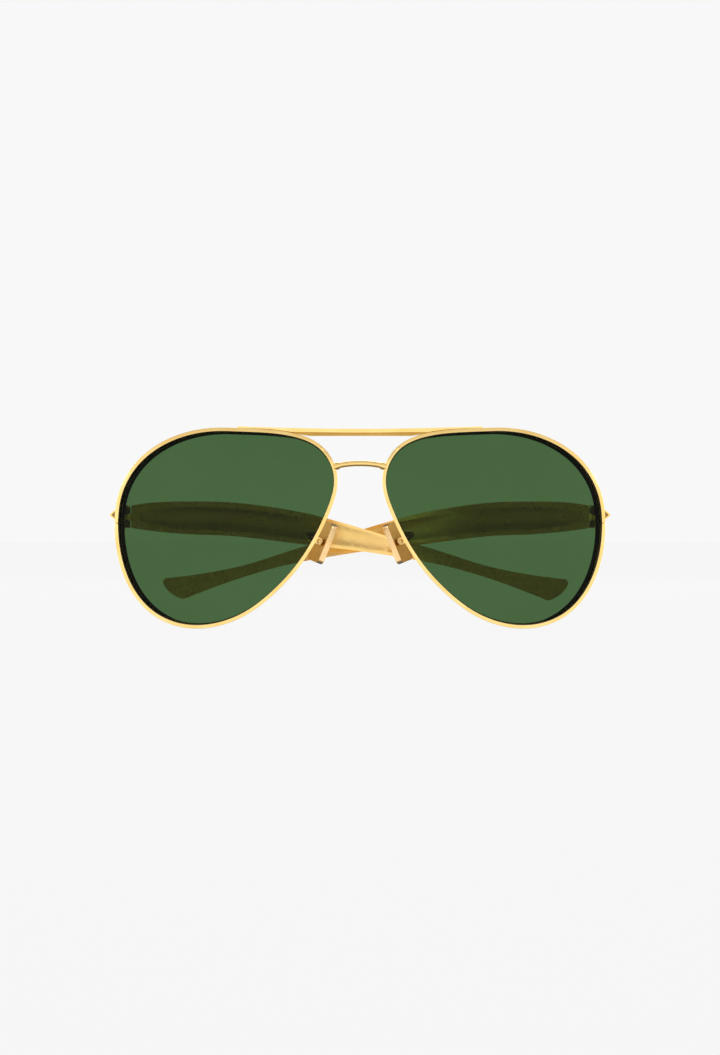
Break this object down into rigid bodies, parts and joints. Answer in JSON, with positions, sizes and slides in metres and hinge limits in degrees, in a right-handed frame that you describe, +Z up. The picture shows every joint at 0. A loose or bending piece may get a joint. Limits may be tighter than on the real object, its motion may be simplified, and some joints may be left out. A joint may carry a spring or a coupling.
{
  "type": "folding aviator sunglasses",
  "caption": "Metal aviator sunglasses, folded, with curved green lenses, brow bar, wire bridge, rocking nose pads and broad temples with a hollow inner face.",
  "frame": {"origin": "middle of the bridge wire", "axes": "+X across the front to the viewer's right, +Y from the front towards the wearer, +Z up"},
  "size_m": [0.1442, 0.043, 0.0579],
  "materials": {
    "gold": "polished",
    "green_glass": "polished",
    "screw_steel": "satin"
  },
  "bodies": {
    "front": {"rim_left": "gold", "rim_right": "gold", "brow_bar": "gold", "bridge": "gold", "end_piece_left": "gold", "end_piece_right": "gold", "front_hinge_leaf_left": "gold", "front_hinge_leaf_right": "gold", "rim_lock_upper_left": "gold", "rim_lock_upper_right": "gold", "rim_lock_lower_left": "gold", "rim_lock_lower_right": "gold", "pad_arm_left": "gold", "pad_arm_right": "gold", "pad_box_left": "gold", "pad_box_right": "gold", "lens_left": "green_glass", "lens_right": "green_glass", "rim_screws": "screw_steel", "hinge_screws": "screw_steel", "pad_screws": "screw_steel"},
    "temple_left": {"temple_left": "gold", "temple_hinge_leaf_left": "gold"},
    "temple_right": {"temple_right": "gold", "temple_hinge_leaf_right": "gold"},
    "nose_pad_left": {"nose_pad_left": "gold"},
    "nose_pad_right": {"nose_pad_right": "gold"}
  },
  "joints": [
    {"name": "temple_right_hinge", "type": "hinge", "parent": "front", "child": "temple_right", "pos_m": [0.0674, 0.01698, -0.0153], "axis": [0, 0, -1], "range_deg": [0, 80]},
    {"name": "temple_left_hinge", "type": "hinge", "parent": "front", "child": "temple_left", "pos_m": [-0.0674, 0.01698, -0.0153], "axis": [0, 0, 1], "range_deg": [0, 76]},
    {"name": "nose_pad_right_rock", "type": "hinge", "parent": "front", "child": "nose_pad_right", "pos_m": [0.01245, 0.0064, -0.02182], "axis": [0.5693, 0.7893, 0.23], "range_deg": [-8, 8]},
    {"name": "nose_pad_left_rock", "type": "hinge", "parent": "front", "child": "nose_pad_left", "pos_m": [-0.01245, 0.0064, -0.02182], "axis": [-0.5693, 0.7893, 0.23], "range_deg": [-8, 8]}
  ],
  "couplings": [
    {"joint": "temple_left_hinge", "follows": "temple_right_hinge", "ratio": 0.95}
  ]
}
